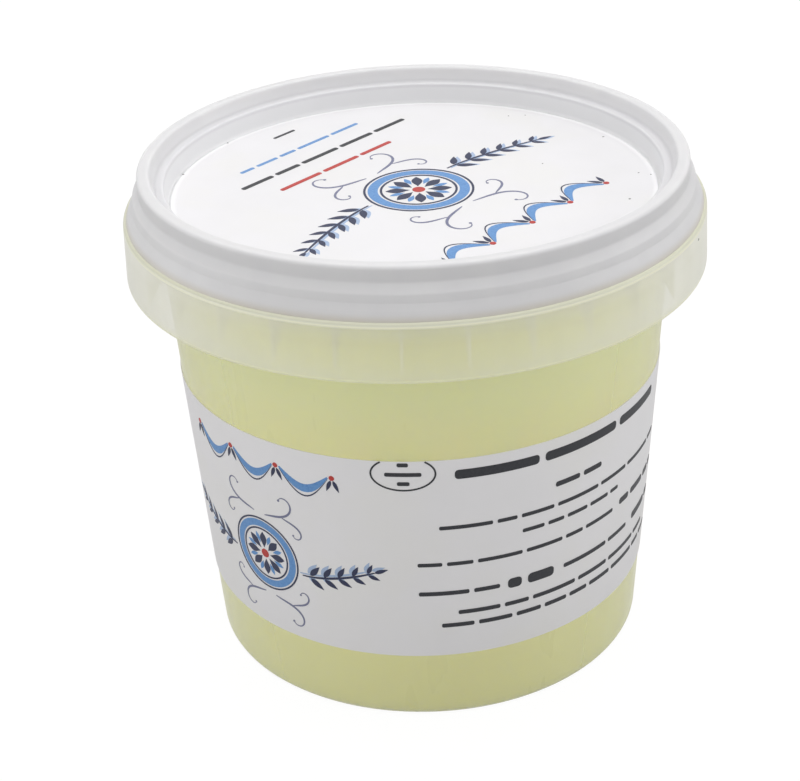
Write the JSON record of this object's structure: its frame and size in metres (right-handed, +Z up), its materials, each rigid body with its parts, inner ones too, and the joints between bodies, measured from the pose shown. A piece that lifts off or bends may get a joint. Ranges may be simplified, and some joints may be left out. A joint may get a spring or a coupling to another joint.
{
  "type": "shut tub of cheese in brine",
  "caption": "Shut tapered round tub of cheese in brine: translucent plastic with a hanging ribbed collar, white snap lid with a recessed paper label, and a white paper band round the body.",
  "frame": {"origin": "centre of the flat base, on the surface the tub stands on", "axes": "+Z up along the tub's axis of revolution; -Y is the front"},
  "size_m": [0.0968, 0.0968, 0.0859],
  "materials": {
    "tub_plastic": "natural translucent polypropylene, satin",
    "lid_plastic": "white moulded plastic, satin",
    "lid_label": "white coated paper with coloured print",
    "wrap_label": "white coated paper with coloured print",
    "brine": "cloudy pale yellow-green liquid"
  },
  "bodies": {
    "root": {"tub": "tub_plastic", "lid": "lid_plastic", "lid_label": "lid_label", "wrap_label": "wrap_label", "brine": "brine"}
  },
  "joints": []
}
